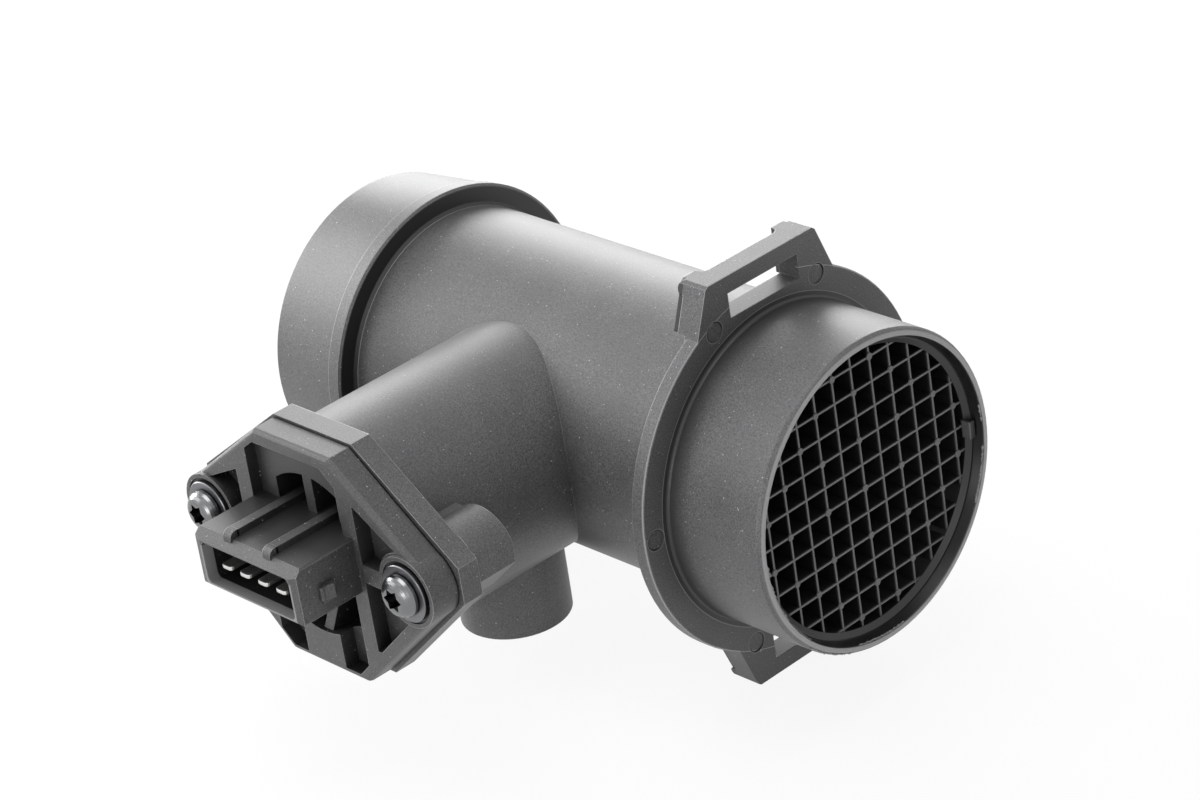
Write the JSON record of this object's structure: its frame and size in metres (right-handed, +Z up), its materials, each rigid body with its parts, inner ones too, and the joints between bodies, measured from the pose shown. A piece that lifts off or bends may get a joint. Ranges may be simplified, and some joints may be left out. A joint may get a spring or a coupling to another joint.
{
  "type": "mass airflow sensor",
  "caption": "Mass airflow sensor: round plastic tube with inlet grid, strap loops, tapered outlet collar and a side tower with plug-in probe, ribbed cover and blade plug.",
  "frame": {"origin": "on the tube's axis, in the front face of the inlet flange", "axes": "+X along the tube's axis towards the inlet, +Z up with the stub pointing down, and the connector tower points to -Y"},
  "size_m": [0.1304, 0.1218, 0.0816],
  "materials": {
    "housing_plastic": "fine moulded grain",
    "grid_plastic": "fine moulded grain",
    "cover_plastic": "fine moulded grain",
    "tinned_terminal": "tinned",
    "screw_steel": "zinc plated",
    "washer_steel": "zinc plated",
    "seal_rubber": "matte",
    "probe_plastic": "satin",
    "plate_aluminium": "milled",
    "board_ceramic": "ceramic",
    "chip_plastic": "satin",
    "lead_brass": "stamped",
    "film_ceramic": "ceramic",
    "bead_coating": "dipped"
  },
  "bodies": {
    "root": {"housing": "housing_plastic", "flow_grid": "grid_plastic", "connector_cover": "cover_plastic", "terminal_1": "tinned_terminal", "terminal_2": "tinned_terminal", "terminal_3": "tinned_terminal", "terminal_4": "tinned_terminal", "cover_screws": "screw_steel", "cover_washers": "washer_steel", "thread_inserts": "lead_brass", "cover_seal": "seal_rubber", "sensor_body": "probe_plastic", "channel_cover": "probe_plastic", "probe_seal": "seal_rubber", "carrier_plate": "plate_aluminium", "hybrid_board": "board_ceramic", "driver_chip": "chip_plastic", "contact_leads": "lead_brass", "hot_film": "film_ceramic", "air_temperature_bead": "bead_coating"}
  },
  "joints": []
}
